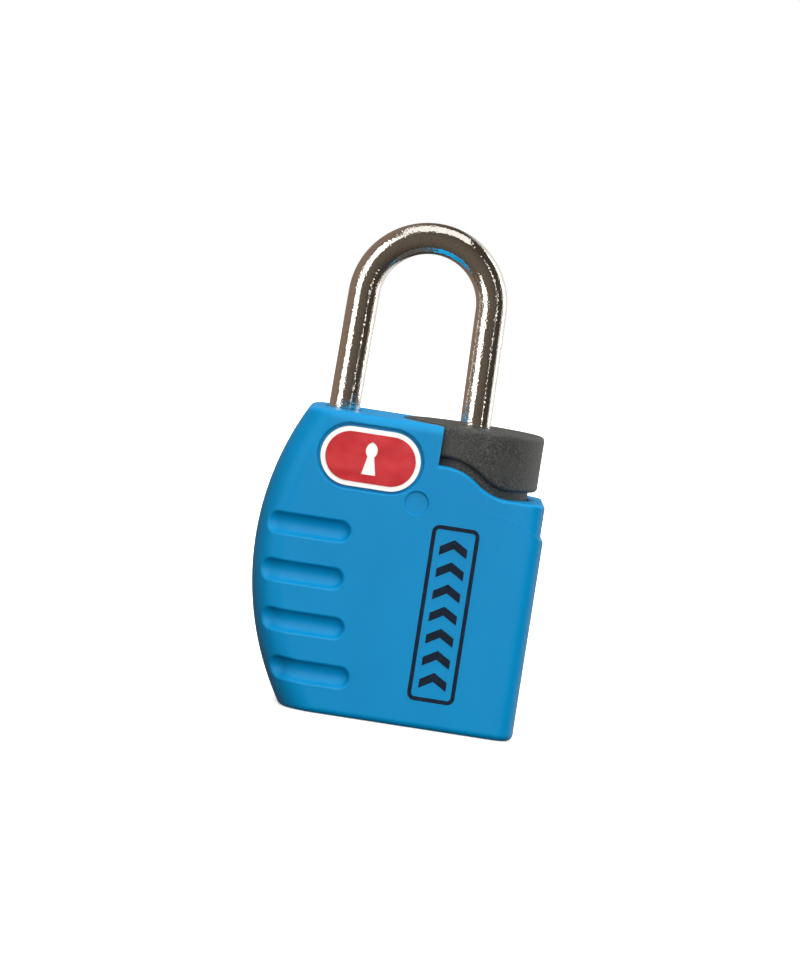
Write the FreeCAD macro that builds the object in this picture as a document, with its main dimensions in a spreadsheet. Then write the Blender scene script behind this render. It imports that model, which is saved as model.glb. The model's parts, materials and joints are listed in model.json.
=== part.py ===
import FreeCAD, Part
import math
import os
import re
import Sketcher

# Small keyed luggage padlock: two plastic casing halves round a die-cast lock case, a steel
# shackle with a moulded collar on its long (heel) leg, and a wafer cylinder in the base.
# Frame: X to the right, Y to the back, Z up. The origin is the middle of the footprint.

DOC = FreeCAD.newDocument("luggage_padlock")
NODES = []

SIZES = {
    # casing
    "body_right": 15.0, "body_height": 31.8, "body_half": 7.5,
    "flank_x": 16.1, "flank_z": 17.1, "flank_radius": 31.1, "flank_round": 3.5,
    "side_round": 2.2, "top_round": 1.0, "foot_round": 0.7,
    "wall": 1.4, "flank_wall": 1.6, "fit_gap": 0.1,
    # shoulder, drawn in a little on the right above a drum-shaped crease
    "shoulder_x": 7.0, "shoulder_z": 9.5, "shoulder_radius": 14.2, "shoulder_right": 14.65,
    "shoulder_half": 7.15,
    # notch and seat below the collar
    "notch_x": 2.9, "seat_high": 27.7, "seat_low": 25.1, "seat_start": 3.6, "seat_end": 10.8,
    # shackle
    "rod_radius": 1.65, "heel_x": 6.22, "toe_x": -7.87, "crown_radius": 6.8, "crown_z": 44.15,
    "lean_z": 31.0, "ease_radius": 20.0, "heel_end": 9.0, "toe_end": 24.8, "toe_chamfer": 0.6,
    "toe_bore": 1.85, "heel_bore": 1.8, "lift": 7.5,
    "neck_rod": 1.1, "spigot_radius": 0.9, "spigot_length": 1.2,
    # collar
    "collar_radius": 7.5, "collar_top": 31.95, "collar_gap": 0.9, "collar_round": 0.5,
    "neck_radius": 6.6, "neck_end": 24.7, "well_radius": 6.8, "well_floor": 24.4,
    "pocket_radius": 7.7,
    # grip flutes
    "flute_width": 2.3, "flute_depth": 0.75,
    # small edges of the casing
    "flute_edge": 0.3, "seat_edge": 0.35, "recess_edge": 0.2, "dimple_edge": 0.15,
    "seam_edge": 0.1,
    # badge
    "badge_x": -4.2, "badge_z": 27.3, "badge_length": 10.5, "badge_height": 6.2,
    "badge_margin": 0.3, "badge_depth": 0.55, "badge_rim": 0.5, "badge_plate_thick": 0.45,
    "dimple_x": 1.25, "dimple_z": 23.45, "dimple_radius": 1.2, "dimple_depth": 0.28,
    # lock case
    "case_front": 6.0, "case_back": 5.1, "cover_thick": 0.9, "case_step": -2.05,
    "case_bevel": 1.2,
    "rivet_radius": 0.8, "rivet_start": 2.6,
    # cylinder
    "lock_x": -4.0, "housing_radius": 4.2, "housing_base": 0.3, "housing_top": 17.2,
    "plug_radius": 3.0, "plug_bore": 3.05, "mouth_radius": 2.6, "nose_radius": 2.5,
    "plug_base": 0.5, "plug_shoulder": 1.1, "plug_top": 17.3, "stem_radius": 2.0,
    "stem_top": 18.5, "keyway_width": 1.0, "keyway_height": 3.4, "keyway_top": 15.6,
    "wafer_first": 3.4, "wafer_pitch": 2.6, "wafer_thick": 0.8, "wafer_width": 3.2,
    "wafer_length": 4.8, "wafer_slot": 0.9,
    "clip_base": 17.55, "clip_thick": 0.5, "clip_inner": 1.65, "clip_outer": 3.3,
    # tailpiece and locking bolt
    "shaft_radius": 1.25, "disc_radius": 1.8, "disc_base": 26.2, "disc_top": 27.4,
    "throw": 1.0, "crank_radius": 0.5, "crank_top": 29.2,
    "bolt_base": 27.6, "bolt_top": 29.4, "bolt_nose": -5.95, "bolt_heel": -2.15,
    "bolt_front": -1.5, "bolt_back": 2.3, "bolt_play": 0.08, "bolt_stroke": 1.6, "notch_depth": 1.4,
    # springs and pins
    "spring_seat": 3.6, "spring_mean": 1.25, "spring_wire": 0.2, "spring_turns": 8.0,
    "pin_radius": 0.5, "pin_z": 18.7, "pin_half": 4.0,
    "wafer_spring_mean": 0.26, "wafer_spring_wire": 0.06, "wafer_spring_length": 1.6,
}

FLUTES = [(-13.95, -5.07, 19.3), (-13.95, -5.07, 14.3), (-13.1, -4.2, 9.16), (-11.4, -2.9, 4.13)]
RIVETS = [(2.4, 5.0), (2.4, 21.3), (11.3, 5.0), (11.3, 21.3), (-10.9, 16.0)]
WAFERS = 5


def make_sheet():
    sheet = DOC.addObject("Spreadsheet::Sheet", "Dim")
    for row, (alias, size) in enumerate(SIZES.items(), start=1):
        sheet.set("A%d" % row, alias)
        sheet.set("B%d" % row, str(size))
        sheet.setAlias("B%d" % row, alias)
    DOC.recompute()
    return sheet


SHEET = make_sheet()


# ---- values and bindings ---------------------------------------------------------------------

def full(expression):
    """The expression with each alias written as a cell of the sheet."""
    def cell(match):
        word = match.group(0)
        return "Dim." + word if word in SIZES else word
    return re.sub(r"[a-z][a-z_]*", cell, str(expression))


def value(expression):
    return float(SHEET.evalExpression(full(expression)))


def bind(thing, prop, expression):
    thing.setExpression(prop, full(expression))


# ---- bodies, sketches and features -----------------------------------------------------------

def new_body(name):
    return DOC.addObject("PartDesign::Body", name)


def new_sketch(body, name, role, offset=0.0):
    """A sketch on one of the body's own origin planes, moved along that plane's normal."""
    sketch = body.newObject("Sketcher::SketchObject", name)
    origin_plane = [f for f in body.Origin.OriginFeatures if f.Role == role][0]
    sketch.AttachmentSupport = (origin_plane, [""])
    sketch.MapMode = "FlatFace"
    bind(sketch, "AttachmentOffset.Base.z", offset)
    return sketch


def hold_point(sketch, geometry, end, across, up):
    """Places one point of a sketch by its two distances from the sketch's origin."""
    for kind, expression in (("DistanceX", across), ("DistanceY", up)):
        limit = Sketcher.Constraint(kind, -1, 1, geometry, end, value(expression))
        bind(sketch, "Constraints[%d]" % sketch.addConstraint(limit), expression)


def hold_radius(sketch, geometry, expression):
    limit = Sketcher.Constraint("Radius", geometry, value(expression))
    bind(sketch, "Constraints[%d]" % sketch.addConstraint(limit), expression)


def add_circle(sketch, across, up, radius):
    centre = FreeCAD.Vector(value(across), value(up), 0)
    index = sketch.addGeometry(Part.Circle(centre, FreeCAD.Vector(0, 0, 1), value(radius)))
    hold_point(sketch, index, 3, across, up)
    hold_radius(sketch, index, radius)


def arc_between(start, finish, radius):
    """The shorter arc between two points. A positive radius turns left, a negative one right."""
    half = (finish - start) * 0.5
    left = FreeCAD.Vector(-half.y, half.x, 0).normalize()
    if radius < 0:
        left = left * -1
    reach = math.sqrt(max(radius * radius - half.Length ** 2, 0.0))
    centre = start + half + left * reach
    return Part.Arc(start, centre - left * abs(radius), finish)


def add_outline(sketch, corners):
    """A closed outline of corners (across, up) or (across, up, radius). A radius turns the
    stretch from that corner to the next into an arc. A half circle is held by running
    smoothly on from the stretch before it, any other arc by its radius."""
    points = [FreeCAD.Vector(value(c[0]), value(c[1]), 0) for c in corners]
    ends = []
    half_circles = set()
    for i, corner in enumerate(corners):
        start = points[i]
        finish = points[(i + 1) % len(points)]
        if len(corner) == 2:
            index = sketch.addGeometry(Part.LineSegment(start, finish))
        else:
            radius = value(corner[2])
            index = sketch.addGeometry(arc_between(start, finish, radius))
            if abs(start.distanceToPoint(finish) - 2 * abs(radius)) < 1e-6:
                half_circles.add(i)
        near = 1 if sketch.getPoint(index, 1).distanceToPoint(start) < 1e-6 else 2
        ends.append((index, near, 3 - near))
    for i, corner in enumerate(corners):
        index, near, far = ends[i]
        following = (i + 1) % len(corners)
        meeting = "Tangent" if following in half_circles else "Coincident"
        sketch.addConstraint(
            Sketcher.Constraint(meeting, index, far, ends[following][0], ends[following][1]))
        hold_point(sketch, index, near, corner[0], corner[1])
        if len(corner) == 3 and i not in half_circles:
            hold_radius(sketch, index, "abs(%s)" % corner[2])


def add_axis(sketch, across, up):
    """A construction line through a point of the sketch, along the sketch's upward axis."""
    foot = FreeCAD.Vector(value(across), value(up), 0)
    index = sketch.addGeometry(Part.LineSegment(foot, foot + FreeCAD.Vector(0, 5, 0)), True)
    hold_point(sketch, index, 1, across, up)
    hold_point(sketch, index, 2, across, "%s + 5" % up)


def pad(body, sketch, length, backwards=False):
    feature = body.newObject("PartDesign::Pad", sketch.Name + "_pad")
    feature.Profile = sketch
    feature.Reversed = backwards
    bind(feature, "Length", length)
    return feature


def pocket(body, sketch, length, backwards=False, both_ways=False):
    feature = body.newObject("PartDesign::Pocket", sketch.Name + "_pocket")
    feature.Profile = sketch
    feature.Reversed = backwards
    if both_ways:
        feature.SideType = "Symmetric"
    bind(feature, "Length", length)
    return feature


def groove(body, sketch):
    feature = body.newObject("PartDesign::Groove", sketch.Name + "_groove")
    feature.Profile = sketch
    feature.ReferenceAxis = (sketch, ["Axis0"])
    feature.Angle = 360.0
    return feature


def revolve(body, sketch):
    feature = body.newObject("PartDesign::Revolution", sketch.Name + "_turned")
    feature.Profile = sketch
    feature.ReferenceAxis = (sketch, ["Axis0"])
    feature.Angle = 360.0
    return feature


def edges_where(shape, test):
    return ["Edge%d" % (i + 1) for i, edge in enumerate(shape.Edges) if test(edge)]


def round_edges(body, name, radius, test):
    """Rounds the edges of the body's last feature that pass the test."""
    DOC.recompute()
    last = body.Tip
    feature = body.newObject("PartDesign::Fillet", name)
    feature.Base = (last, edges_where(last.Shape, test))
    bind(feature, "Radius", radius)
    return feature


def bevel_edges(body, name, size, test):
    DOC.recompute()
    last = body.Tip
    feature = body.newObject("PartDesign::Chamfer", name)
    feature.Base = (last, edges_where(last.Shape, test))
    bind(feature, "Size", size)
    return feature


# ---- primitives and booleans -----------------------------------------------------------------

TURNS = {
    "+Z": FreeCAD.Rotation(),
    "+X": FreeCAD.Rotation(FreeCAD.Vector(0, 1, 0), 90),
    "+Y": FreeCAD.Rotation(FreeCAD.Vector(1, 0, 0), -90),
}


def place(thing, at, turn=None):
    thing.Placement = FreeCAD.Placement(FreeCAD.Vector(0, 0, 0), turn or FreeCAD.Rotation())
    for axis, expression in zip("xyz", at):
        bind(thing, "Placement.Base." + axis, expression)
    return thing


def bar(name, radius, length, at, along="+Z"):
    rod = DOC.addObject("Part::Cylinder", name)
    bind(rod, "Radius", radius)
    bind(rod, "Height", length)
    return place(rod, at, TURNS[along])


def block(name, low, high):
    box = DOC.addObject("Part::Box", name)
    for prop, a, b in zip(("Length", "Width", "Height"), low, high):
        bind(box, prop, "(%s) - (%s)" % (b, a))
    return place(box, low)


def ball(name, radius, at):
    sphere = DOC.addObject("Part::Sphere", name)
    bind(sphere, "Radius", radius)
    return place(sphere, at)


def joined(name, things):
    union = DOC.addObject("Part::MultiFuse", name)
    union.Shapes = things
    return union


def cut(name, base, tools):
    result = DOC.addObject("Part::Cut", name)
    result.Base = base
    result.Tool = tools[0] if len(tools) == 1 else joined(name + "_tools", tools)
    return result


def trim_edges(kind, name, base, size, test):
    """A Part::Fillet or Part::Chamfer of every edge of base that passes the test."""
    DOC.recompute()
    feature = DOC.addObject(kind, name)
    feature.Base = base
    feature.Edges = [(i, value(size), value(size))
                     for i, edge in enumerate(base.Shape.Edges, start=1) if test(edge)]
    return feature


def group(name, things):
    compound = DOC.addObject("Part::Compound", name)
    compound.Links = things
    return compound


def node(label, thing):
    """Marks a finished sub-part: its Label is the name of its file."""
    thing.Label = label
    NODES.append(thing)
    return thing


# ---- casing ----------------------------------------------------------------------------------

SEAT_RADIUS = "(((seat_end - seat_start)^2 + (seat_high - seat_low)^2) / (4 * (seat_high - seat_low)))"
SEAT_MIDDLE = ("(seat_start + seat_end) / 2", "(seat_high + seat_low) / 2")


def sloped_seat(lift):
    """The curve that steps down to the right below the collar, from its low end to its high
    end, raised square to itself by lift."""
    steep = "((seat_end - seat_start) / 2 / %s)" % SEAT_RADIUS
    level = "(1 - (seat_high - seat_low) / 2 / %s)" % SEAT_RADIUS
    return [
        ("seat_end", "seat_low + %s" % lift, "-(%s - %s)" % (SEAT_RADIUS, lift)),
        ("%s + %s * %s" % (SEAT_MIDDLE[0], lift, steep),
         "%s + %s * %s" % (SEAT_MIDDLE[1], lift, level), "%s + %s" % (SEAT_RADIUS, lift)),
        ("seat_start", "seat_high + %s" % lift),
    ]


def flank_groove(body, name, radius, edge_round, half, side):
    """Turns the left flank of a casing half to its radius, with a rolled edge at the face."""
    sketch = new_sketch(body, name, "XY_Plane", "flank_z")
    add_axis(sketch, "flank_x", "0")
    outer = "flank_x - (%s)" % radius
    beyond = "%s - %s" % (outer, 6)
    sign = "1" if side > 0 else "-1"
    add_outline(sketch, [
        (outer, "%s * -1" % sign),
        (outer, "%s * (%s - %s)" % (sign, half, edge_round), "%s * -1 * %s" % (sign, edge_round)),
        ("%s + %s" % (outer, edge_round), "%s * %s" % (sign, half)),
        ("%s + %s" % (outer, edge_round), "%s * (%s + 1)" % (sign, half)),
        (beyond, "%s * (%s + 1)" % (sign, half)),
        (beyond, "%s * -1" % sign),
    ])
    return groove(body, sketch)


def flat_at(edge, height):
    box = edge.BoundBox
    return abs(box.ZMin - height) < 1e-4 and abs(box.ZMax - height) < 1e-4


def half_blank(name, side):
    """One casing half before hollowing, its outer edges rounded."""
    body = new_body(name)
    outline = new_sketch(body, name + "_outline", "XZ_Plane")
    add_outline(outline, [
        ("flank_x - flank_radius - 1", "0"),
        ("body_right", "0"),
        ("body_right", "seat_low"),
    ] + sloped_seat("0") + [
        ("notch_x", "seat_high"),
        ("notch_x", "body_height"),
        ("flank_x - flank_radius - 1", "body_height"),
    ])
    pad(body, outline, "body_half", backwards=side > 0)
    flank_groove(body, name + "_flank", "flank_radius", "flank_round", "body_half", side)
    half = value("body_half")
    right = value("body_right")
    top = value("body_height")

    def on_face(edge):
        box = edge.BoundBox
        return side * (box.YMin + box.YMax) > half * 0.6

    def right_corner(edge):
        box = edge.BoundBox
        return (abs(box.XMin - right) < 1e-4 and abs(box.XMax - right) < 1e-4
                and box.ZLength > 10 and on_face(edge))

    def crown_edge(edge):
        return flat_at(edge, top) and on_face(edge) and edge.BoundBox.XLength > 0.5

    def foot_edge(edge):
        box = edge.BoundBox
        at_split = abs(box.YMin) < 1e-4 and abs(box.YMax) < 1e-4
        return flat_at(edge, 0.0) and not at_split

    round_edges(body, name + "_side", "side_round", right_corner)
    round_edges(body, name + "_crown", "top_round", crown_edge)
    round_edges(body, name + "_foot", "foot_round", foot_edge)
    return body


def shoulder_cutter():
    """The thin layer taken off the right shoulder: nothing at shoulder_x, more to the right,
    down to a drum-shaped crease."""
    inner = new_body("shoulder_inner")
    plan = new_sketch(inner, "shoulder_plan", "XY_Plane", "shoulder_z - 5")
    slope = "((body_half - shoulder_half) / (shoulder_right - shoulder_x))"
    wide = "(body_half + 3 * %s)" % slope
    add_outline(plan, [
        ("shoulder_x - 3", "-%s" % wide),
        ("shoulder_right", "-shoulder_half"),
        ("shoulder_right", "shoulder_half"),
        ("shoulder_x - 3", wide),
    ])
    pad(inner, plan, "body_height")
    right = value("shoulder_right")

    def corner(edge):
        box = edge.BoundBox
        return box.ZLength > 10 and abs(box.XMin - right) < 1e-4

    round_edges(inner, "shoulder_corners", "side_round - 0.2", corner)
    layer = block("shoulder_layer",
                  ("shoulder_x - 2", "-body_half - 1", "shoulder_z + 2"),
                  ("body_right + 1", "body_half + 1", "seat_low + 3"))
    drum = bar("shoulder_drum", "shoulder_radius", "2 * body_half + 6",
               ("shoulder_x", "-body_half - 3", "shoulder_z"), "+Y")
    return cut("shoulder_cut", layer, [drum, inner])


def case_blank(name, margin, front, back):
    """The block that fills the casing, less a margin all round, from front to back in Y. Its
    edges along the flank are bevelled, to leave a wall behind the ends of the flutes."""
    body = new_body(name)
    outline = new_sketch(body, name + "_outline", "XZ_Plane", "-(%s)" % back)
    step_x = "case_step + fit_gap - %s" % margin
    top_left = "body_height - wall - %s" % margin
    top_right = "well_floor + fit_gap - %s" % margin
    add_outline(outline, [
        ("flank_x - flank_radius", "wall + %s" % margin),
        ("body_right - wall - %s" % margin, "wall + %s" % margin),
        ("body_right - wall - %s" % margin, top_right),
        (step_x, top_right),
        (step_x, top_left),
        ("flank_x - flank_radius", top_left),
    ])
    pad(body, outline, "(%s) - (%s)" % (back, front))
    flank = new_sketch(body, name + "_flank", "XY_Plane", "flank_z")
    add_axis(flank, "flank_x", "0")
    outer = "flank_x - (flank_radius - flank_wall - %s)" % margin
    bevel_y = "case_front + fit_gap - %s - case_bevel" % margin
    add_outline(flank, [
        (outer, "-(%s)" % bevel_y),
        (outer, bevel_y),
        ("%s + case_bevel + 2" % outer, "%s + case_bevel + 2" % bevel_y),
        ("%s - 8" % outer, "%s + case_bevel + 2" % bevel_y),
        ("%s - 8" % outer, "-(%s + case_bevel + 2)" % bevel_y),
        ("%s + case_bevel + 2" % outer, "-(%s + case_bevel + 2)" % bevel_y),
    ])
    groove(body, flank)
    return body


def flute_tools(name, side):
    """Long rounded cutters for the grip flutes. Each runs along X and follows the rolled edge
    of the flank at its left end."""
    half_width = "(flute_width / 2)"
    tool_radius = "((flute_depth^2 + %s^2) / (2 * flute_depth))" % half_width
    rise = "(%s - flute_depth)" % tool_radius
    bend = "(flank_round + %s)" % rise
    sign = "1" if side > 0 else "-1"
    face_y = "%s * (body_half + %s)" % (sign, rise)
    bend_y = "%s * (body_half - flank_round)" % sign
    tools = []
    for i, (left, right, height) in enumerate(FLUTES, start=1):
        stem = "%s_%d" % (name, i)
        bend_x = "(flank_x - sqrt((flank_radius - flank_round)^2 - (%s - flank_z)^2))" % height
        sweep = "asin((%s - (%s) - 0.94 * %s) / flank_round)" % (bend_x, left, half_width)
        end_x = "((%s) - %s)" % (right, half_width)
        angle = value(sweep)
        bend_start = 90.0 if side > 0 else 270.0 - angle
        tools.append(bar(stem + "_run", tool_radius, "%s - %s" % (end_x, bend_x),
                         (bend_x, face_y, height), "+X"))
        elbow = DOC.addObject("Part::Torus", stem + "_bend")
        bind(elbow, "Radius1", bend)
        bind(elbow, "Radius2", tool_radius)
        bind(elbow, "Angle3", sweep)
        place(elbow, (bend_x, bend_y, height),
              FreeCAD.Rotation(FreeCAD.Vector(0, 0, 1), bend_start))
        tools.append(elbow)
        tools.append(ball(stem + "_right", tool_radius, (end_x, face_y, height)))
        tools.append(ball(stem + "_left", tool_radius, (
            "%s - %s * sin(%s)" % (bend_x, bend, sweep),
            "%s + %s * %s * cos(%s)" % (bend_y, sign, bend, sweep), height)))
    return tools


def pill_outline(sketch, length, height):
    run = "((%s) / 2 - (%s) / 2)" % (length, height)
    rise = "((%s) / 2)" % height
    add_outline(sketch, [
        ("badge_x - %s" % run, "badge_z - %s" % rise),
        ("badge_x + %s" % run, "badge_z - %s" % rise, rise),
        ("badge_x + %s" % run, "badge_z + %s" % rise),
        ("badge_x - %s" % run, "badge_z + %s" % rise, rise),
    ])


def pill(name, length, height, inner_y, thick):
    """A pill-shaped plate that stands on inner_y and grows towards the front."""
    body = new_body(name)
    sketch = new_sketch(body, name + "_outline", "XZ_Plane", "-(%s)" % inner_y)
    pill_outline(sketch, length, height)
    pad(body, sketch, thick)
    return body


def middle_of(edge):
    return edge.valueAt((edge.FirstParameter + edge.LastParameter) / 2)


def ease_casing_edges(name, solid, skin, side):
    """Softens the small moulded edges: flute rims, seat, badge recess and dimple, and a fine
    bevel along the seam between the halves. The skin is the casing half before its flutes."""
    seat_low = value("seat_low")
    seat_high = value("seat_high")
    notch_x = value("notch_x")
    reach = value("flute_width") / 2 + 0.2

    def in_seam(edge):
        box = edge.BoundBox
        return abs(box.YMin) < 1e-4 and abs(box.YMax) < 1e-4

    def on_skin(spot):
        return skin.distToShape(Part.Vertex(spot))[0] < 2e-3

    def flute_rim(edge):
        spot = middle_of(edge)
        near = any(abs(spot.z - height) < reach and left - 0.6 < spot.x < right + 0.1
                   for left, right, height in FLUTES)
        return near and on_skin(spot)

    def seat_rim(edge):
        box = edge.BoundBox
        level = seat_low - 0.01 < box.ZMin and box.ZMax < seat_high + 0.01
        crosses = box.YLength > value("body_half") - 1 and box.XLength < 1e-3
        on_side = abs(box.XMin - value("shoulder_right")) < 1e-3
        return level and box.XMin > notch_x - 0.01 and not in_seam(edge) and (
            on_side or not crosses)

    def recess_rim(edge):
        spot = middle_of(edge)
        run = (value("badge_length") - value("badge_height")) / 2
        across = max(abs(spot.x - value("badge_x")) - run, 0)
        from_spine = math.hypot(across, spot.z - value("badge_z"))
        wanted = value("badge_height / 2 + badge_margin")
        return abs(from_spine - wanted) < 0.02 and on_skin(spot)

    def dimple_rim(edge):
        spot = middle_of(edge)
        across = math.hypot(spot.x - value("dimple_x"), spot.z - value("dimple_z"))
        return across < value("dimple_radius") + 0.1 and on_skin(spot)

    for size, test in (("flute_edge", flute_rim), ("seat_edge", seat_rim),
                       ("recess_edge", recess_rim), ("dimple_edge", dimple_rim)):
        if side < 0 or test in (flute_rim, seat_rim):
            solid = trim_edges("Part::Fillet", name + "_" + size, solid, size, test)
    return trim_edges("Part::Chamfer", name + "_seam", solid, "seam_edge", in_seam)


def make_casing():
    cavity = case_blank("cavity", "0", "-case_front - fit_gap", "case_front + fit_gap")
    pocket_round = bar("collar_pocket", "pocket_radius", "10", ("heel_x", "0", "seat_high"))
    well = bar("collar_well", "well_radius", "12", ("heel_x", "0", "well_floor"))
    toe_hole = bar("toe_hole", "toe_bore + 0.1", "6", ("toe_x", "0", "body_height - 3"))
    mouth = bar("lock_mouth", "housing_radius + fit_gap", "4", ("lock_x", "0", "-1"))
    inside = [cavity, pocket_round, well, toe_hole, mouth]
    shoulder = shoulder_cutter()
    recess = pill("badge_recess", "badge_length + 2 * badge_margin",
                  "badge_height + 2 * badge_margin", "badge_depth - body_half", "3")
    dimple = bar("dimple", "dimple_radius", "4",
                 ("dimple_x", "dimple_depth - body_half - 4", "dimple_z"), "+Y")
    for label, side, extra in (("front_shell", -1, [recess, dimple]), ("rear_shell", 1, [])):
        blank = half_blank(label + "_blank", side)
        drawn_in = cut(label + "_drawn_in", blank, [shoulder])
        DOC.recompute()
        skin = drawn_in.Shape.Shells[0]
        carved = cut(label + "_carved", drawn_in, flute_tools(label + "_flute", side) + extra)
        finished = ease_casing_edges(label, carved, skin, side)
        node(label, cut(label + "_hollow", finished, inside))


def make_badge():
    floor = "badge_depth - body_half"
    node("badge_plate", pill("badge_base", "badge_length", "badge_height", floor,
                             "badge_plate_thick"))
    field = pill("badge_field", "badge_length - 2 * badge_rim", "badge_height - 2 * badge_rim",
                 "%s - badge_plate_thick" % floor, "badge_depth - badge_plate_thick - 0.02")
    keyhole = new_sketch(field, "badge_keyhole", "XZ_Plane", "body_half - 1")
    add_outline(keyhole, [
        ("badge_x - 0.75", "badge_z - 1.7"),
        ("badge_x + 0.75", "badge_z - 1.7"),
        ("badge_x + 0.35", "badge_z + 0.2", "0.95"),
        ("badge_x", "badge_z + 1.75", "0.95"),
        ("badge_x - 0.35", "badge_z + 0.2"),
    ])
    pocket(field, keyhole, "3", both_ways=True)
    node("badge_inlay", field)


# ---- lock case -------------------------------------------------------------------------------

def make_lock_case():
    solid = case_blank("case_solid", "fit_gap", "-case_front", "case_back")
    slot_half = "(disc_radius + 0.15)"
    shaft_half = "(shaft_radius + 0.15)"
    tools = [
        bar("housing_bore", "housing_radius + 0.03", "housing_top + 2.7",
            ("lock_x", "0", "-1")),
        bar("toe_socket", "toe_bore", "10", ("toe_x", "0", "toe_end - 0.5")),
        bar("heel_socket", "heel_bore", "30", ("heel_x", "0", "spring_seat - 0.05")),
        bar("shaft_bore", shaft_half, "12", ("lock_x", "0", "housing_top")),
        block("shaft_channel", ("lock_x - %s" % shaft_half, "0", "housing_top + 1"),
              ("lock_x + %s" % shaft_half, "case_back + 1", "disc_base")),
        bar("disc_bore", slot_half, "disc_top - disc_base + 0.3",
            ("lock_x", "0", "disc_base - 0.1")),
        block("disc_channel", ("lock_x - %s" % slot_half, "0", "disc_base - 0.1"),
              ("lock_x + %s" % slot_half, "case_back + 1", "disc_top + 0.2")),
        block("bolt_channel", ("bolt_nose + 1 - bolt_stroke", "bolt_front - 0.15",
                               "bolt_base - 0.1"),
              ("case_step + 1", "case_back + 1", "bolt_top + 0.1")),
        block("nose_channel", ("bolt_nose - bolt_stroke", "bolt_front - 0.15",
                               "bolt_base - 0.1"),
              ("bolt_nose + 1", "-bolt_front + 0.15", "bolt_top + 0.1")),
        bar("pin_hole", "pin_radius", "pin_half + case_back + 1",
            ("heel_x + neck_rod + 0.1 + pin_radius", "-pin_half", "pin_z"), "+Y"),
        bar("stake_hole", "pin_radius", "3 + case_back + 1",
            ("lock_x + housing_radius + 0.15", "-3", "12"), "+Y"),
    ]
    for i, (across, height) in enumerate(RIVETS, start=1):
        tools.append(bar("rivet_hole_%d" % i, "rivet_radius", "case_back",
                         (across, "rivet_start", height), "+Y"))
    node("lock_case", cut("case_cut", solid, tools))

    cover = case_blank("cover_solid", "fit_gap", "case_back", "case_back + cover_thick")
    holes = [bar("cover_hole_%d" % i, "rivet_radius", "4", (across, "case_back - 1", height), "+Y")
             for i, (across, height) in enumerate(RIVETS, start=1)]
    node("case_cover", cut("cover_cut", cover, holes))
    rivets = [bar("rivet_%d" % i, "rivet_radius", "case_back + cover_thick - rivet_start",
                  (across, "rivet_start", height), "+Y")
              for i, (across, height) in enumerate(RIVETS, start=1)]
    node("case_rivets", group("rivet_set", rivets))
    node("heel_retaining_pin", bar(
        "retaining_pin", "pin_radius", "pin_half + case_back",
        ("heel_x + neck_rod + 0.1 + pin_radius", "-pin_half", "pin_z"), "+Y"))
    node("cylinder_pin", bar(
        "stake_pin", "pin_radius", "3 + case_back",
        ("lock_x + housing_radius + 0.15", "-3", "12"), "+Y"))


# ---- shackle ---------------------------------------------------------------------------------

def shackle_path(body):
    """Up the heel leg, a slight lean inwards, round the crown and down the toe leg. Every
    stretch is tangent to the next."""
    sketch = new_sketch(body, "shackle_path", "XZ_Plane")
    heel = value("heel_x")
    toe = value("toe_x")
    middle = (heel + toe) / 2
    crown_z = value("crown_z")
    lean_z = value("lean_z")
    radius = value("crown_radius")
    ease = value("ease_radius")
    half_span = (heel - toe) / 2
    # the leaning line is tangent to the crown: its angle from the vertical
    far = math.hypot(half_span, crown_z - lean_z)
    lean = math.asin(half_span / far) - math.asin(radius / far)
    ease_reach = ease * math.tan(lean / 2)

    def point(x, z):
        return FreeCAD.Vector(x, z, 0)

    def leg(foot_x, side, foot_z):
        """The corner points of one leg, from its foot up to the crown."""
        kink_up = point(foot_x - side * ease_reach * math.sin(lean),
                        lean_z + ease_reach * math.cos(lean))
        spring = point(middle + side * radius * math.cos(lean),
                       crown_z + radius * math.sin(lean))
        return [point(foot_x, foot_z), point(foot_x, lean_z - ease_reach), kink_up, spring]

    a = leg(heel, 1, value("heel_end"))
    b = leg(toe, -1, value("toe_end"))
    top = point(middle, crown_z + radius)
    heel_bend = arc_between(a[1], a[2], ease)
    toe_bend = arc_between(b[2], b[1], ease)
    pieces = [Part.LineSegment(a[0], a[1]), heel_bend, Part.LineSegment(a[2], a[3]),
              Part.Arc(a[3], top, b[3]), Part.LineSegment(b[3], b[2]), toe_bend,
              Part.LineSegment(b[1], b[0])]
    for piece in pieces:
        sketch.addGeometry(piece)
    for i in range(len(pieces) - 1):
        sketch.addConstraint(Sketcher.Constraint("Tangent", i, 2, i + 1, 1))
    for i in (0, 6):
        sketch.addConstraint(Sketcher.Constraint("Vertical", i))
    hold_point(sketch, 0, 1, "heel_x", "heel_end")
    hold_point(sketch, 3, 3, "(heel_x + toe_x) / 2", "crown_z")
    hold_point(sketch, 6, 2, "toe_x", "toe_end")
    hold_radius(sketch, 1, "ease_radius")
    hold_radius(sketch, 3, "crown_radius")
    hold_radius(sketch, 5, "ease_radius")
    return sketch


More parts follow.
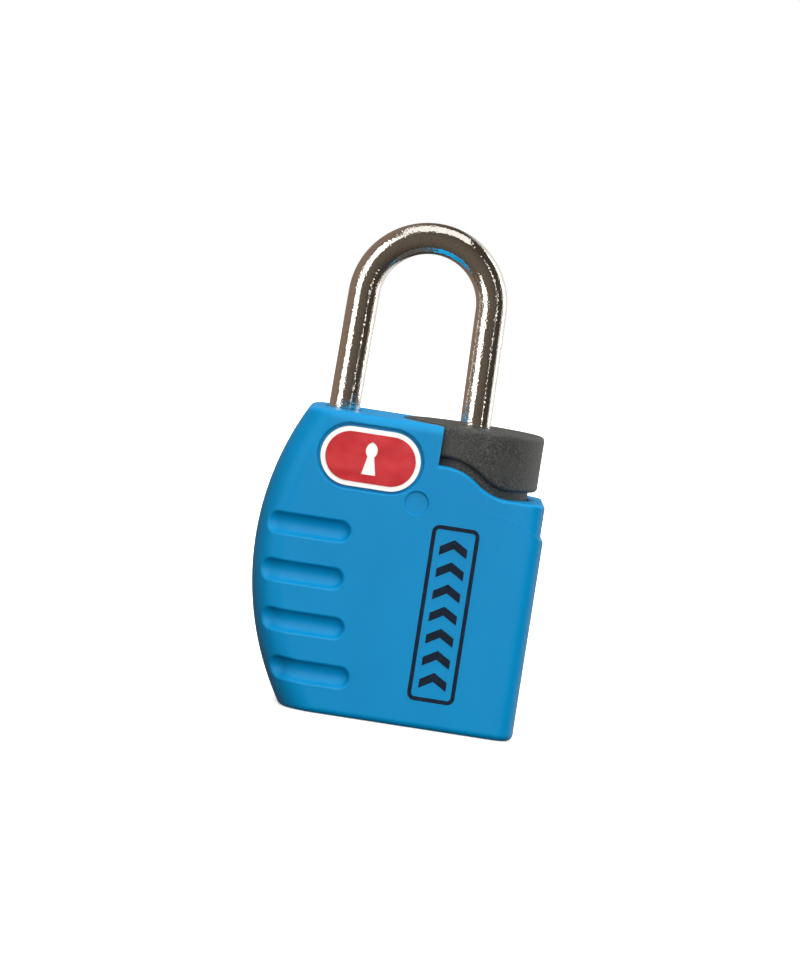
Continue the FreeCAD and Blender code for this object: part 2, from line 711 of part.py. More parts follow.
def make_shackle():
    body = new_body("shackle_body")
    path = shackle_path(body)
    section = new_sketch(body, "shackle_section", "XY_Plane", "heel_end")
    add_circle(section, "heel_x", "0", "rod_radius")
    DOC.recompute()
    pipe = body.newObject("PartDesign::AdditivePipe", "shackle_rod")
    pipe.Profile = section
    pipe.Spine = (path, [])
    DOC.recompute()

    # the waist that the retaining pin runs in, from the pin's rest place down by the lift
    waist = new_sketch(body, "heel_waist", "XZ_Plane")
    add_axis(waist, "heel_x", "heel_end")
    add_outline(waist, [
        ("heel_x + neck_rod", "pin_z - pin_radius - 0.1 - lift"),
        ("heel_x + 4", "pin_z - pin_radius - 0.1 - lift"),
        ("heel_x + 4", "pin_z + pin_radius + 0.15"),
        ("heel_x + neck_rod", "pin_z + pin_radius + 0.15"),
    ])
    groove(body, waist)

    # the bolt's notch in the toe leg
    notch = new_sketch(body, "toe_notch", "XZ_Plane")
    add_outline(notch, [
        ("toe_x + rod_radius - notch_depth", "bolt_base - 0.2"),
        ("toe_x + rod_radius + 1", "bolt_base - 0.2"),
        ("toe_x + rod_radius + 1", "bolt_top + 0.2"),
        ("toe_x + rod_radius - notch_depth", "bolt_top + 0.2"),
    ])
    pocket(body, notch, "8", both_ways=True)
    toe = value("toe_end")

    def toe_rim(edge):
        return flat_at(edge, toe) and edge.BoundBox.XMax < 0

    bevel_edges(body, "toe_bevel", "toe_chamfer", toe_rim)
    spigot = new_sketch(body, "heel_spigot", "XY_Plane", "heel_end")
    add_circle(spigot, "heel_x", "0", "spigot_radius")
    pad(body, spigot, "spigot_length", backwards=True)
    node("shackle", body)


def make_collar():
    body = new_body("collar_body")
    flange = new_sketch(body, "collar_flange", "XY_Plane", "neck_end")
    add_circle(flange, "heel_x", "0", "collar_radius")
    pad(body, flange, "collar_top - neck_end")
    under = new_sketch(body, "collar_under", "XZ_Plane")
    add_outline(under, [
        ("heel_x + collar_radius + 3", "neck_end - 1"),
        ("heel_x + collar_radius + 3", "seat_low + collar_gap"),
    ] + sloped_seat("collar_gap") + [
        ("heel_x - collar_radius - 3", "seat_high + collar_gap"),
        ("heel_x - collar_radius - 3", "neck_end - 1"),
    ])
    pocket(body, under, "40", both_ways=True)
    top = value("collar_top")
    round_edges(body, "collar_brim", "collar_round", lambda edge: flat_at(edge, top))
    rim = value("collar_radius")
    heel = value("heel_x")

    def lower_rim(edge):
        """Edges round the outside of the sloped under side."""
        on_rim = all(abs(math.hypot(v.X - heel, v.Y) - rim) < 1e-3 for v in edge.Vertexes)
        middle = edge.valueAt((edge.FirstParameter + edge.LastParameter) / 2)
        middle_on = abs(math.hypot(middle.x - heel, middle.y) - rim) < 1e-3
        flat = edge.BoundBox.ZMax < top - 1.5
        return on_rim and middle_on and flat and edge.Length > 0.3

    round_edges(body, "collar_lip", "collar_round - 0.1", lower_rim)
    neck = new_sketch(body, "collar_neck", "XY_Plane", "neck_end")
    add_circle(neck, "heel_x", "0", "neck_radius")
    pad(body, neck, "collar_top - neck_end - 1")
    bore = new_sketch(body, "collar_bore", "XY_Plane")
    add_circle(bore, "heel_x", "0", "rod_radius + 0.03")
    pocket(body, bore, "80", both_ways=True)
    node("shackle_collar", body)


def coil(name, mean, wire, length, turns):
    """A round-wire compression spring standing on the origin, along +Z."""
    helix = DOC.addObject("Part::Helix", name + "_helix")
    bind(helix, "Radius", mean)
    bind(helix, "Height", "%s - 2 * %s" % (length, wire))
    bind(helix, "Pitch", "(%s - 2 * %s) / %s" % (length, wire, turns))
    section = DOC.addObject("Part::Circle", name + "_section")
    bind(section, "Radius", wire)
    place(section, (mean, "0", "0"), TURNS["+Y"])
    sweep = DOC.addObject("Part::Sweep", name)
    sweep.Sections = [section]
    sweep.Spine = (helix, ["Edge1"])
    sweep.Solid = True
    sweep.Frenet = True
    return sweep


def make_heel_spring():
    spring = coil("heel_coil", "spring_mean", "spring_wire", "heel_end - spring_seat",
                  "spring_turns")
    node("heel_spring", place(spring, ("heel_x", "0", "spring_seat + spring_wire")))


# ---- cylinder --------------------------------------------------------------------------------

def make_housing():
    tube = bar("housing_tube", "housing_radius", "housing_top - housing_base",
               ("lock_x", "0", "housing_base"))
    tools = [
        bar("housing_room", "plug_bore", "housing_top",
            ("lock_x", "0", "plug_shoulder - 0.05")),
        bar("housing_mouth", "mouth_radius", "4", ("lock_x", "0", "-1")),
        bar("housing_stake", "pin_radius", "20",
            ("lock_x + housing_radius + 0.15", "-10", "12"), "+Y"),
    ]
    node("cylinder_housing", cut("housing_cut", tube, tools))


def wafer_level(i):
    return "(wafer_first + %d * wafer_pitch)" % i


def make_plug():
    body = new_body("plug_body")
    profile = new_sketch(body, "plug_profile", "XZ_Plane")
    add_axis(profile, "lock_x", "0")
    add_outline(profile, [
        ("lock_x", "plug_base"),
        ("lock_x + nose_radius", "plug_base"),
        ("lock_x + nose_radius", "plug_shoulder"),
        ("lock_x + plug_radius", "plug_shoulder"),
        ("lock_x + plug_radius", "plug_top"),
        ("lock_x + stem_radius", "plug_top"),
        ("lock_x + stem_radius", "clip_base - 0.02"),
        ("lock_x + clip_inner - 0.03", "clip_base - 0.02"),
        ("lock_x + clip_inner - 0.03", "clip_base + clip_thick + 0.02"),
        ("lock_x + stem_radius", "clip_base + clip_thick + 0.02"),
        ("lock_x + stem_radius", "stem_top"),
        ("lock_x", "stem_top"),
    ])
    revolve(body, profile)
    keyway = block("keyway", ("lock_x - keyway_width / 2", "-keyway_height / 2", "-1"),
                   ("lock_x + keyway_width / 2", "keyway_height / 2", "keyway_top"))
    ward = block("keyway_ward", ("lock_x - keyway_width / 2", "0.35", "-1"),
                 ("lock_x - keyway_width / 2 + 0.3", "0.85", "wafer_first - 0.6"))
    tang_slot = block("tang_slot", ("lock_x - 0.5", "-1.25", "stem_top - 0.9"),
                      ("lock_x + 0.5", "1.25", "stem_top + 1"))
    tools = [cut("keyway_cut", keyway, [ward]), tang_slot]
    for i in range(WAFERS):
        level = wafer_level(i)
        tools.append(block(
            "wafer_slot_%d" % (i + 1),
            ("lock_x - wafer_width / 2 - 0.1", "-plug_radius - 1", "%s - wafer_slot / 2" % level),
            ("lock_x + wafer_width / 2 + 0.1", "plug_radius + 1", "%s + wafer_slot / 2" % level)))
    node("key_plug", cut("plug_cut", body, tools))


def make_wafers():
    """Flat plates with a window for the key, and a notch at one side for their spring."""
    springs = []
    for i in range(WAFERS):
        number = i + 1
        level = wafer_level(i)
        low = "%s - wafer_thick / 2" % level
        high = "%s + wafer_thick / 2" % level
        plate = block("wafer_plate_%d" % number,
                      ("lock_x - wafer_width / 2", "-wafer_length / 2", low),
                      ("lock_x + wafer_width / 2", "wafer_length / 2", high))
        window = block("wafer_window_%d" % number,
                       ("lock_x - keyway_width / 2 - 0.05", "-wafer_length / 2 + 0.7", low + " - 1"),
                       ("lock_x + keyway_width / 2 + 0.05", "wafer_length / 2 - 0.7", high + " + 1"))
        notch = block("wafer_notch_%d" % number,
                      ("lock_x + wafer_width / 2 - 0.75", "-wafer_spring_length / 2 - 0.1",
                       low + " - 1"),
                      ("lock_x + wafer_width / 2 + 1", "wafer_spring_length / 2 + 0.1",
                       high + " + 1"))
        node("wafer_%d" % number, cut("wafer_cut_%d" % number, plate, [window, notch]))
        spring = coil("wafer_coil_%d" % number, "wafer_spring_mean", "wafer_spring_wire",
                      "wafer_spring_length", "5")
        springs.append(place(
            spring, ("lock_x + wafer_width / 2 - 0.36",
                     "wafer_spring_wire - wafer_spring_length / 2", level), TURNS["+Y"]))
    node("wafer_springs", group("wafer_spring_set", springs))


def make_plug_clip():
    ring = bar("clip_ring", "clip_outer", "clip_thick", ("lock_x", "0", "clip_base"))
    tools = [
        bar("clip_hole", "clip_inner", "4", ("lock_x", "0", "clip_base - 1")),
        block("clip_gap", ("lock_x - 1.1", "-5", "clip_base - 1"),
              ("lock_x + 1.1", "0", "clip_base + 3")),
    ]
    node("plug_clip", cut("clip_cut", ring, tools))


def make_tailpiece():
    """A shaft from the plug up to a disc with an off-centre crank, a quarter turn's throw
    split evenly about the Y axis."""
    swing = "throw * sin(45)"
    shaft = bar("tail_shaft", "shaft_radius", "disc_base - stem_top + 0.05",
                ("lock_x", "0", "stem_top + 0.05"))
    tang = block("tail_tang", ("lock_x - 0.45", "-1.2", "stem_top - 0.85"),
                 ("lock_x + 0.45", "1.2", "stem_top + 0.2"))
    disc = bar("tail_disc", "disc_radius", "disc_top - disc_base", ("lock_x", "0", "disc_base"))
    crank = bar("tail_crank", "crank_radius", "crank_top - disc_top + 0.1",
                ("lock_x + %s" % swing, swing, "disc_top - 0.1"))
    node("tailpiece", joined("tail_joined", [shaft, tang, disc, crank]))


def make_bolt():
    """A flat bolt whose cross slot is driven by the crank."""
    body = new_body("bolt_body")
    plan = new_sketch(body, "bolt_plan", "XY_Plane", "bolt_base")
    add_outline(plan, [
        ("bolt_nose", "bolt_front"),
        ("bolt_heel", "bolt_front"),
        ("bolt_heel", "bolt_back"),
        ("bolt_nose + 1", "bolt_back"),
        ("bolt_nose + 1", "-bolt_front"),
        ("bolt_nose", "-bolt_front"),
    ])
    pad(body, plan, "bolt_top - bolt_base")
    slot = new_sketch(body, "bolt_slot", "XY_Plane", "bolt_base")
    centre = "(lock_x + throw * sin(45))"
    half = "(crank_radius + bolt_play)"
    low = "(throw * sin(45))"
    add_outline(slot, [
        ("%s + %s" % (centre, half), low),
        ("%s + %s" % (centre, half), "throw", half),
        ("%s - %s" % (centre, half), "throw"),
        ("%s - %s" % (centre, half), low, half),
    ])
    pocket(body, slot, "8", backwards=True)
    node("locking_bolt", body)


# ---- the whole padlock -----------------------------------------------------------------------

def check_document():
    for thing in DOC.Objects:
        if "Invalid" in thing.State or "Error" in thing.State:
            raise SystemExit("failed object: %s %s" % (thing.Name, thing.State))
    for thing in NODES:
        if thing.Shape.isNull() or not thing.Shape.isValid():
            raise SystemExit("bad shape: " + thing.Label)


def write_parts():
    os.makedirs("parts", exist_ok=True)
    for thing in NODES:
        thing.Shape.exportStep("parts/%s.step" % thing.Label)
        print("%-20s %9.2f mm3, %d solids" % (thing.Label, thing.Shape.Volume,
                                               len(thing.Shape.Solids)))


make_casing()
make_badge()
make_lock_case()
make_shackle()
make_collar()
make_heel_spring()
make_housing()
make_plug()
make_wafers()
make_plug_clip()
make_tailpiece()
make_bolt()
DOC.recompute()
check_document()
write_parts()
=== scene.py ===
import json
import math

import bmesh
import bpy
from mathutils import Matrix, Vector

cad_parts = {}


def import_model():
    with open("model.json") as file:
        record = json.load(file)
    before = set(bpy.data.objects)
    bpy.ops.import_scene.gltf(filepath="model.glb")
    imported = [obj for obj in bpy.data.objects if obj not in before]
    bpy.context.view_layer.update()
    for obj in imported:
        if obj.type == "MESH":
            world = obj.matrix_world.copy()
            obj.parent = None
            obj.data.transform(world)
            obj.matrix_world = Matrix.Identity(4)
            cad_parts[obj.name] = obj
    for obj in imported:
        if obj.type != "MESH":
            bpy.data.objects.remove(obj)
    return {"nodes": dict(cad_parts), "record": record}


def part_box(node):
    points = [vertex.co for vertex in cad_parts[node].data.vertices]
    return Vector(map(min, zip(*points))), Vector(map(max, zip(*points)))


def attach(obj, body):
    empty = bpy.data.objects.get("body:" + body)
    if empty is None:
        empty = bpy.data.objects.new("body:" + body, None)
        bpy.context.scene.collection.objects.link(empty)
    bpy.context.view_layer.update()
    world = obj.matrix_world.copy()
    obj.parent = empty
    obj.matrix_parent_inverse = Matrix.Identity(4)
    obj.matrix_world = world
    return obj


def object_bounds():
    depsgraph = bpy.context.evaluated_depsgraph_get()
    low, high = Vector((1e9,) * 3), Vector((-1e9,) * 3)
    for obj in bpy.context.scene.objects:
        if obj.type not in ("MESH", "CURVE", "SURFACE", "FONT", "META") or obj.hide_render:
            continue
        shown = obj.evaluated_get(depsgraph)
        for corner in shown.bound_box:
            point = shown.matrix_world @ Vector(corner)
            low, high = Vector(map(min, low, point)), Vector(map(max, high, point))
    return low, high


# Looks, light and camera for the small luggage padlock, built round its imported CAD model.
# The front of the lock faces -Y, and its base stands at Z = 0.

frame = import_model()
cad_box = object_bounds()

MM = 0.001


# ---- Shared helpers -------------------------------------------------------------------------------------

# A Mix node has sockets of the same names for every type of data, so its colour sockets go by number.
MIX_FIRST, MIX_SECOND, MIX_RESULT = 6, 7, 2


def mix_colours(tree, factor, first, second):
    """From one colour to another as the factor rises. Each is a colour, or the output of a node."""
    node = tree.nodes.new("ShaderNodeMix")
    node.data_type = "RGBA"
    tree.links.new(factor, node.inputs["Factor"])
    for number, colour in ((MIX_FIRST, first), (MIX_SECOND, second)):
        if isinstance(colour, tuple):
            node.inputs[number].default_value = (*colour, 1.0)
        else:
            tree.links.new(colour, node.inputs[number])
    return node.outputs[MIX_RESULT]


def scene_object(name, data):
    """A new object in the scene, for a mesh, a light or a camera."""
    thing = bpy.data.objects.new(name, data)
    bpy.context.scene.collection.objects.link(thing)
    return thing


def mesh_object(name, shape):
    """A new object in the scene, with the shape built in a bmesh, which is used up."""
    mesh = bpy.data.meshes.new(name)
    shape.to_mesh(mesh)
    shape.free()
    return scene_object(name, mesh)


def bearing(azimuth, elevation):
    """A direction out from the lock: degrees round from its front to its right, and degrees up."""
    azimuth = math.radians(azimuth)
    elevation = math.radians(elevation)
    return Vector((
        math.sin(azimuth) * math.cos(elevation),
        -math.cos(azimuth) * math.cos(elevation),
        math.sin(elevation),
    ))


# ---- Finishes -------------------------------------------------------------------------------------------

# The wave texture's lines are this far apart at a scale of 1.
WAVE_SPACING = 0.314


class Finish:
    """A procedural material. Its textures are sized in millimetres of the part's own space."""

    def __init__(self, name, colour, roughness, metallic=0.0, **inputs):
        self.material = bpy.data.materials.new(name)
        self.material.use_nodes = True
        self.tree = self.material.node_tree
        self.nodes = self.tree.nodes
        self.links = self.tree.links
        self.shader = self.nodes["Principled BSDF"]
        self.coordinates = self.nodes.new("ShaderNodeTexCoord").outputs["Object"]
        self.set("Base Color", (*colour, 1.0))
        self.set("Roughness", roughness)
        self.set("Metallic", metallic)
        for words, number in inputs.items():
            self.set(words.replace("_", " ").title().replace("Ior", "IOR"), number)

    def set(self, socket, number):
        """One value all over the surface, on the shader's own socket."""
        self.shader.inputs[socket].default_value = number

    def feed(self, socket, source):
        """A value that changes over the surface."""
        self.links.new(source, self.shader.inputs[socket])

    def placed(self, stretch=(1, 1, 1)):
        """Coordinates in millimetres, with each axis multiplied by its own number."""
        mapping = self.nodes.new("ShaderNodeMapping")
        mapping.inputs["Scale"].default_value = [n / MM for n in stretch]
        self.links.new(self.coordinates, mapping.inputs["Vector"])
        return mapping.outputs["Vector"]

    def noise(self, size, detail=2.0, stretch=(1, 1, 1), roughness=0.5):
        """Soft random patches about `size` millimetres across."""
        texture = self.nodes.new("ShaderNodeTexNoise")
        texture.inputs["Scale"].default_value = 1.0 / size
        texture.inputs["Detail"].default_value = detail
        texture.inputs["Roughness"].default_value = roughness
        self.links.new(self.placed(stretch), texture.inputs["Vector"])
        return texture.outputs["Fac"]

    def cells(self, size):
        """Distance to the nearest of scattered points, for grains."""
        texture = self.nodes.new("ShaderNodeTexVoronoi")
        texture.inputs["Scale"].default_value = 1.0 / size
        self.links.new(self.placed(), texture.inputs["Vector"])
        return texture.outputs["Distance"]

    def rings(self, pitch, distortion):
        """Even lines across the upright axis, a pitch apart in millimetres, as a lathe tool leaves them."""
        texture = self.nodes.new("ShaderNodeTexWave")
        texture.bands_direction = "Z"
        texture.inputs["Scale"].default_value = WAVE_SPACING / pitch
        texture.inputs["Distortion"].default_value = distortion
        self.links.new(self.placed(), texture.inputs["Vector"])
        return texture.outputs["Fac"]

    def span(self, source, low, high, start=0.0, end=1.0):
        """A source between low and high, moved to between start and end, and held there."""
        node = self.nodes.new("ShaderNodeMapRange")
        for socket, number in (("From Min", low), ("From Max", high), ("To Min", start), ("To Max", end)):
            node.inputs[socket].default_value = number
        self.links.new(source, node.inputs["Value"])
        return node.outputs["Result"]

    def times(self, first, second):
        """The product of two sources."""
        node = self.nodes.new("ShaderNodeMath")
        node.operation = "MULTIPLY"
        self.links.new(first, node.inputs[0])
        self.links.new(second, node.inputs[1])
        return node.outputs["Value"]

    def blend(self, factor, first, second):
        """From one colour to another. Each is a colour, or the output of another blend."""
        return mix_colours(self.tree, factor, first, second)

    def bump(self, height, depth, under=None):
        """Raised and sunk by `depth` millimetres, on top of another bump if there is one."""
        node = self.nodes.new("ShaderNodeBump")
        node.inputs["Distance"].default_value = depth * MM
        self.links.new(height, node.inputs["Height"])
        if under is not None:
            self.links.new(under, node.inputs["Normal"])
        return node.outputs["Normal"]


def moulded_blue():
    """Satin injection-moulded plastic: even colour, faint flow patches, fine texture, light scuffs."""
    f = Finish("casing_blue", (0.0, 0.205, 0.45), 0.34, specular_ior_level=0.17)
    flow = f.span(f.noise(7.0, detail=3.0, stretch=(1, 1, 0.5)), 0.35, 0.65)
    blue = f.blend(flow, (0.0, 0.198, 0.440), (0.0, 0.212, 0.462))
    specks = f.span(f.noise(0.16, detail=1.0), 0.60, 0.78)
    f.feed("Base Color", f.blend(specks, blue, (0.0, 0.235, 0.50)))
    scuffs = f.noise(1.1, detail=4.0, stretch=(1, 1, 6))
    f.feed("Roughness", f.span(scuffs, 0.58, 0.74, start=0.32, end=0.42))
    waves = f.bump(f.noise(4.5, detail=1.0), depth=0.02)
    f.feed("Normal", f.bump(f.noise(0.13), depth=0.004, under=waves))
    return f.material


def spark_textured_black():
    """Black glass-filled plastic out of a spark-eroded mould: matt, with a close rounded grain."""
    f = Finish("collar_black", (0.034, 0.036, 0.035), 0.55, specular_ior_level=0.5)
    grain = f.noise(0.22, detail=3.0, roughness=0.6)
    close = f.blend(f.span(grain, 0.44, 0.66), (0.024, 0.026, 0.025), (0.075, 0.078, 0.074))
    patches = f.span(f.noise(2.6), 0.45, 0.8)
    f.feed("Base Color", f.blend(patches, close, (0.040, 0.043, 0.041)))
    f.feed("Roughness", f.span(grain, 0.3, 0.7, start=0.42, end=0.62))
    f.feed("Normal", f.bump(grain, depth=0.075))
    return f.material


def nickel_plate():
    """Bright nickel plating over bent wire: slightly rippled, and mottled where the wire was rough."""
    f = Finish("shackle_plating", (0.86, 0.83, 0.79), 0.10, 1.0)
    rough = f.span(f.noise(3.4, stretch=(1, 1, 0.5)), 0.44, 0.60)
    grains = f.span(f.cells(0.26), 0.05, 0.60)
    mottle = f.times(grains, f.span(rough, 0.0, 1.0, start=0.45, end=1.0))
    specks = f.span(f.noise(0.22), 0.50, 0.72)
    f.feed("Base Color", f.blend(specks, (0.90, 0.87, 0.82), (0.74, 0.68, 0.60)))
    f.feed("Roughness", f.span(rough, 0.0, 1.0, start=0.05, end=0.10))
    ripple = f.bump(f.noise(2.4, detail=1.0, stretch=(1, 1, 0.4)), depth=0.012)
    f.feed("Normal", f.bump(mottle, depth=0.014, under=ripple))
    return f.material


def gloss_white():
    """Glossy white badge plate."""
    f = Finish("badge_white", (0.86, 0.86, 0.84), 0.16, coat_weight=0.6, coat_roughness=0.06)
    patches = f.span(f.noise(1.6), 0.4, 0.65)
    f.feed("Base Color", f.blend(patches, (0.88, 0.88, 0.86), (0.82, 0.83, 0.81)))
    f.feed("Normal", f.bump(f.noise(0.9), depth=0.006))
    return f.material


def gloss_red():
    """Red badge panel under a poured clear coat, which is never quite flat."""
    f = Finish("badge_red", (0.50, 0.014, 0.020), 0.22, coat_weight=1.0, coat_roughness=0.05)
    tone = f.span(f.noise(2.6, detail=1.0, stretch=(1, 1, 1.4)), 0.35, 0.70)
    f.feed("Base Color", f.blend(tone, (0.46, 0.011, 0.017), (0.58, 0.030, 0.038)))
    poured = f.bump(f.noise(3.0, detail=1.0, stretch=(1, 1, 1.3)), depth=0.22)
    f.feed("Normal", poured)
    f.feed("Coat Normal", poured)
    return f.material


def cast_zinc():
    """Tumbled zinc casting: grey, soft, with flow marks."""
    f = Finish("zinc_casting", (0.52, 0.53, 0.54), 0.46, 1.0)
    flow = f.span(f.noise(2.2, detail=4.0), 0.35, 0.7)
    f.feed("Base Color", f.blend(flow, (0.56, 0.57, 0.58), (0.40, 0.41, 0.43)))
    f.feed("Roughness", f.span(f.noise(0.6, detail=3.0), 0.3, 0.7, start=0.38, end=0.56))
    f.feed("Normal", f.bump(f.noise(0.28, detail=4.0), depth=0.02))
    return f.material


def worked_metal(name, bright, dull, roughness, stretch):
    """Drawn, rolled or turned metal: marks drawn out along the axis whose stretch is low."""
    f = Finish(name, bright, sum(roughness) / 2, 1.0)
    marks = f.noise(0.22, detail=3.0, stretch=stretch)
    tarnish = f.span(f.noise(1.4, detail=3.0), 0.38, 0.68)
    smooth, coarse = roughness
    f.feed("Base Color", f.blend(tarnish, bright, dull))
    f.feed("Roughness", f.span(marks, 0.3, 0.7, start=smooth, end=coarse))
    f.feed("Normal", f.bump(marks, depth=0.006))
    return f.material


def turned_brass():
    """Free-cutting brass with the fine rings of the lathe tool."""
    f = Finish("brass_turned", (0.78, 0.56, 0.27), 0.28, 1.0)
    tarnish = f.span(f.noise(1.8, detail=3.0), 0.38, 0.66)
    f.feed("Base Color", f.blend(tarnish, (0.80, 0.58, 0.29), (0.62, 0.42, 0.19)))
    rings = f.rings(0.14, distortion=0.4)
    f.feed("Roughness", f.span(rings, 0.0, 1.0, start=0.22, end=0.34))
    f.feed("Normal", f.bump(rings, depth=0.005))
    return f.material


def pad_ink():
    """Pad-printed ink, a little thin in places."""
    f = Finish("print_ink", (0.004, 0.012, 0.030), 0.34, specular_ior_level=0.5)
    thin = f.span(f.noise(0.32, detail=3.0), 0.55, 0.80)
    f.feed("Base Color", f.blend(thin, (0.003, 0.010, 0.024), (0.004, 0.030, 0.068)))
    f.feed("Roughness", f.span(f.noise(0.5), 0.3, 0.7, start=0.28, end=0.42))
    f.feed("Normal", f.bump(f.noise(0.2), depth=0.003))
    return f.material


def floor_paper():
    """Plain white paper, which glows a little so that it looks white all over."""
    f = Finish("floor_paper", (0.9, 0.9, 0.9), 0.9, specular_ior_level=0.1, emission_strength=0.55)
    f.set("Emission Color", (1.0, 1.0, 1.0, 1.0))
    patches = f.span(f.noise(40.0), 0.3, 0.7)
    f.feed("Base Color", f.blend(patches, (0.92, 0.92, 0.92), (0.90, 0.90, 0.90)))
    return f.material


# For each metal: its bright and dull colours, its lowest and highest roughness, and the marks' stretch.
WORKED_METALS = {
    "steel_sheet": ((0.60, 0.60, 0.60), (0.46, 0.46, 0.47), (0.26, 0.42), (0.1, 1, 1)),
    "steel_pin": ((0.62, 0.61, 0.60), (0.48, 0.47, 0.46), (0.20, 0.34), (1, 1, 0.08)),
    "spring_steel": ((0.42, 0.41, 0.41), (0.28, 0.27, 0.26), (0.22, 0.40), (1, 1, 1)),
    "brass_plug": ((0.82, 0.60, 0.30), (0.66, 0.46, 0.21), (0.20, 0.36), (1, 0.2, 1)),
    "brass_plate": ((0.76, 0.55, 0.27), (0.60, 0.42, 0.20), (0.24, 0.38), (0.2, 1, 1)),
}
FINISHES = {
    "casing_blue": moulded_blue(),
    "collar_black": spark_textured_black(),
    "shackle_plating": nickel_plate(),
    "badge_white": gloss_white(),
    "badge_red": gloss_red(),
    "zinc_casting": cast_zinc(),
    "brass_turned": turned_brass(),
    **{name: worked_metal(name, *look) for name, look in WORKED_METALS.items()},
}


def finish_nodes():
    """Gives each CAD node the finish of the material slot that the record names for it."""
    slots = {part["node"]: part["material_slot"] for part in frame["record"]["subparts"]}
    for node, thing in frame["nodes"].items():
        thing.data.materials.clear()
        thing.data.materials.append(FINISHES[slots[node]])


# ---- The printed mark: a plain frame with chevrons ------------------------------------------------------

INK_PROUD = 0.03 * MM
INK_SUNK = 0.02 * MM

# The outline, and where its middle is from the right side and the base of the front shell.
MARK_WIDTH = 5.0 * MM
MARK_HEIGHT = 18.6 * MM
MARK_CORNER = 0.8 * MM
MARK_LINE = 0.42 * MM
MARK_FROM_RIGHT = 9.2 * MM
MARK_FROM_BASE = 12.3 * MM

# Each chevron points up. Its reach is how far either end is from its middle.
CHEVRONS = 7
CHEVRON_PITCH = 2.35 * MM
CHEVRON_REACH = 1.45 * MM
CHEVRON_RISE = 0.85 * MM
CHEVRON_STROKE = 0.95 * MM


def rounded_outline(width, height, radius, steps=8):
    """Points round a rounded rectangle centred on the origin, anticlockwise."""
    points = []
    for turn, (sx, sz) in enumerate(((1, 1), (-1, 1), (-1, -1), (1, -1))):
        centre = Vector((sx * (width / 2 - radius), sz * (height / 2 - radius)))
        for step in range(steps + 1):
            angle = math.radians(90 * (turn + step / steps))
            points.append(centre + radius * Vector((math.cos(angle), math.sin(angle))))
    return points


def outline_faces(shape, corner):
    """The mark's outline: a band between two rounded rectangles, a line's width apart."""
    outer = rounded_outline(MARK_WIDTH, MARK_HEIGHT, MARK_CORNER)
    inner = rounded_outline(
        MARK_WIDTH - 2 * MARK_LINE,
        MARK_HEIGHT - 2 * MARK_LINE,
        MARK_CORNER - MARK_LINE,
    )
    outer = [corner(point) for point in outer]
    inner = [corner(point) for point in inner]
    for n in range(len(outer)):
        after = (n + 1) % len(outer)
        shape.faces.new((outer[n], outer[after], inner[after], inner[n]))


def chevron_faces(shape, corner, z):
    """One chevron: two slanting faces that share the edge from its point down to its notch."""
    left, top, right, low_right, notch, low_left = (
        corner(Vector((x, z + CHEVRON_STROKE / 2 + above)))
        for x, above in (
            (-CHEVRON_REACH, 0),
            (0, CHEVRON_RISE),
            (CHEVRON_REACH, 0),
            (CHEVRON_REACH, -CHEVRON_STROKE),
            (0, CHEVRON_RISE - CHEVRON_STROKE),
            (-CHEVRON_REACH, -CHEVRON_STROKE),
        )
    )
    shape.faces.new((left, low_left, notch, top))
    shape.faces.new((top, notch, low_right, right))


def print_mark():
    """An outlined strip of chevrons, printed on the front shell near its right side."""
    low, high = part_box("front_shell")
    middle = Vector((high.x - MARK_FROM_RIGHT, low.z + MARK_FROM_BASE))
    shape = bmesh.new()

    def corner(point):
        """A corner of the ink's hidden side, which is sunk a little into the shell."""
        return shape.verts.new((middle.x + point.x, low.y + INK_SUNK, middle.y + point.y))

    outline_faces(shape, corner)
    for row in range(CHEVRONS):
        z = (row - (CHEVRONS - 1) / 2) * CHEVRON_PITCH - CHEVRON_RISE / 2
        chevron_faces(shape, corner, z)
    grown = bmesh.ops.extrude_face_region(shape, geom=list(shape.faces))
    raised = [part for part in grown["geom"] if isinstance(part, bmesh.types.BMVert)]
    bmesh.ops.translate(shape, verts=raised, vec=(0, -INK_PROUD - INK_SUNK, 0))
    bmesh.ops.recalc_face_normals(shape, faces=list(shape.faces))
    mark = mesh_object("casing_print", shape)
    mark.data.materials.append(pad_ink())
    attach(mark, "casing")


# ---- Floor, light and camera ----------------------------------------------------------------------------

FLOOR_RADIUS = 1.6
FLOOR_SIDES = 96
FLOOR_DROP = 0.05 * MM  # keeps the sheet from being level with the base

OVERHEAD_SPREAD = 70  # degrees

# The room's own colour, then each glow in it: the direction it comes from, how nearly a view has to
# face that way for the glow to start and to be full (1 is straight towards it), and its colour.
ROOM_COLOUR = (0.055, 0.043, 0.034)
ROOM_GLOWS = (
    ((-0.5, -1, 0), 0.2, 1.0, (0.13, 0.105, 0.082)),
    ((-1, 0.6, 0.2), 0.2, 0.8, (0.24, 0.175, 0.135)),
    ((0.75, 0.65, 0.1), 0.70, 0.85, (0.85, 0.84, 0.80)),
)
WHITE = (1.0, 1.0, 1.0)

CAMERA_AIM = Vector((-0.85 * MM, 0.0, 25.2 * MM))
CAMERA_DISTANCE = 0.382
CAMERA_ELEVATION = 3.75
CAMERA_ROLL = 8.8


def floor():
    """A large white sheet just under the base, left out of reflections and of bounced light."""
    shape = bmesh.new()
    bmesh.ops.create_circle(shape, cap_ends=True, segments=FLOOR_SIDES, radius=FLOOR_RADIUS)
    sheet = mesh_object("floor", shape)
    sheet.data.materials.append(floor_paper())
    sheet.location.z = -FLOOR_DROP
    sheet.visible_glossy = False
    sheet.visible_diffuse = False


def overhead(power):
    """A wide, even light straight down, which isn't reflected in anything glossy."""
    lamp = bpy.data.lights.new("overhead", "SUN")
    lamp.energy = power
    lamp.angle = math.radians(OVERHEAD_SPREAD)
    holder = scene_object("overhead", lamp)
    holder.visible_glossy = False


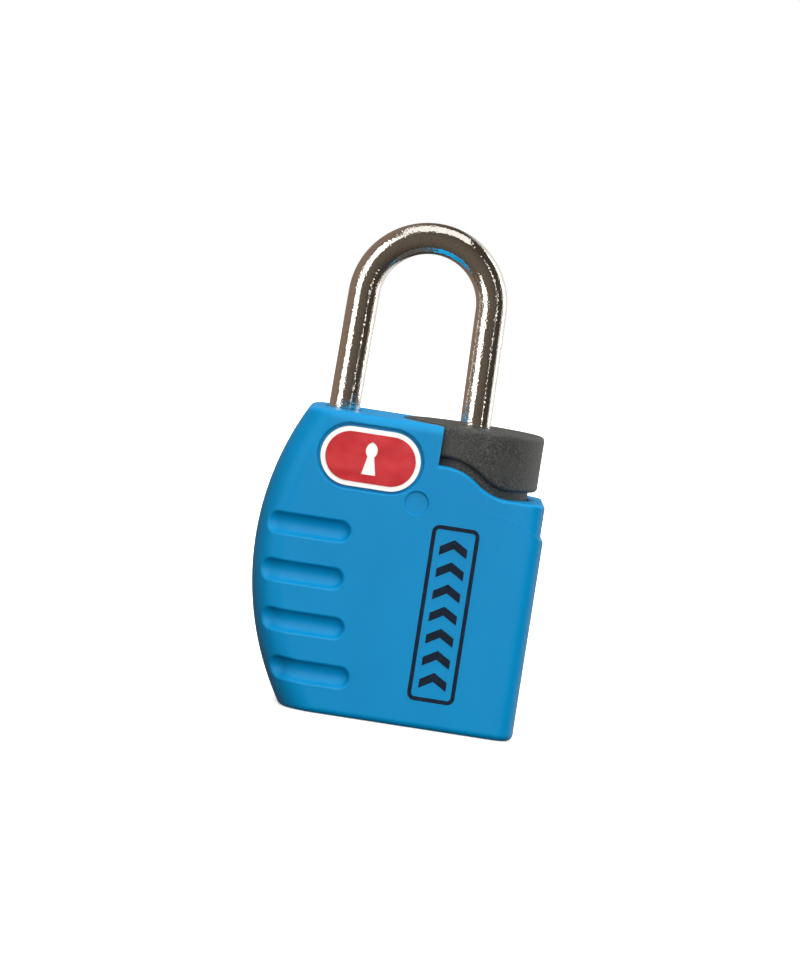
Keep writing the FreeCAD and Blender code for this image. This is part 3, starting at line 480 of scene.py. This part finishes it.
def panel(name, direction, distance, size, power, diffuse=True, glossy=True):
    """A soft rectangular light, aimed at the middle of the padlock, and never seen by the camera."""
    low, high = cad_box
    middle = (low + high) / 2
    lamp = bpy.data.lights.new(name, "AREA")
    lamp.shape = "RECTANGLE"
    lamp.size, lamp.size_y = size
    lamp.energy = power
    holder = scene_object(name, lamp)
    away = bearing(*direction)
    holder.location = middle + away * distance
    holder.rotation_euler = away.to_track_quat("Z", "Y").to_euler()
    holder.visible_diffuse = diffuse
    holder.visible_glossy = glossy
    holder.visible_camera = False


def world():
    """White to the camera, and to everything else a dim warm room with glows, the brightest behind right."""
    sky = bpy.data.worlds.new("studio")
    bpy.context.scene.world = sky
    sky.use_nodes = True
    tree = sky.node_tree
    view = tree.nodes.new("ShaderNodeTexCoord").outputs["Generated"]

    def facing(direction, start, end):
        """From 0 to 1 as the view turns towards a direction."""
        dot = tree.nodes.new("ShaderNodeVectorMath")
        dot.operation = "DOT_PRODUCT"
        dot.inputs[1].default_value = Vector(direction).normalized()
        tree.links.new(view, dot.inputs[0])
        ramp = tree.nodes.new("ShaderNodeMapRange")
        ramp.inputs["From Min"].default_value = start
        ramp.inputs["From Max"].default_value = end
        tree.links.new(dot.outputs["Value"], ramp.inputs["Value"])
        return ramp.outputs["Result"]

    room = ROOM_COLOUR
    for direction, start, end, glow in ROOM_GLOWS:
        room = mix_colours(tree, facing(direction, start, end), room, glow)
    to_camera = tree.nodes.new("ShaderNodeLightPath").outputs["Is Camera Ray"]
    seen = mix_colours(tree, to_camera, room, WHITE)
    tree.links.new(seen, tree.nodes["Background"].inputs["Color"])


def camera():
    """The photograph's view: nearly level with the lock, from its front, and rolled about its own axis."""
    lens = bpy.data.cameras.new("camera")
    lens.sensor_width = 36.0
    lens.lens = 135.0
    lens.clip_start = 0.01
    lens.clip_end = 20.0
    holder = scene_object("camera", lens)
    back = bearing(0.0, CAMERA_ELEVATION)
    place = Matrix.Translation(CAMERA_AIM + back * CAMERA_DISTANCE)
    turn = back.to_track_quat("Z", "Y").to_matrix().to_4x4()
    roll = Matrix.Rotation(math.radians(CAMERA_ROLL), 4, "Z")
    holder.matrix_world = place @ turn @ roll
    bpy.context.scene.camera = holder


finish_nodes()
print_mark()
floor()
overhead(power=1.9)
# Each panel: its name, its azimuth and elevation, its distance, its width and height, and its power.
panel("panel_left", (-46, 12), 0.55, (0.36, 0.75), 1.2, diffuse=False)
panel("panel_front", (4, 38), 0.60, (0.45, 0.45), 3.1, glossy=False)
panel("panel_low", (12, 6), 0.60, (0.70, 0.28), 2.1, glossy=False)
panel("panel_back", (184, 36), 0.60, (0.55, 0.55), 4.6, glossy=False)
panel("panel_top", (0, 80), 0.50, (0.50, 0.50), 0.8)
panel("panel_right", (114, 18), 0.55, (0.20, 0.60), 0.45, diffuse=False)
panel("strip", (42, 12), 0.60, (0.035, 0.50), 0.09, diffuse=False)
world()
camera()
bpy.context.scene.view_settings.view_transform = "Standard"
bpy.context.scene.view_settings.look = "None"
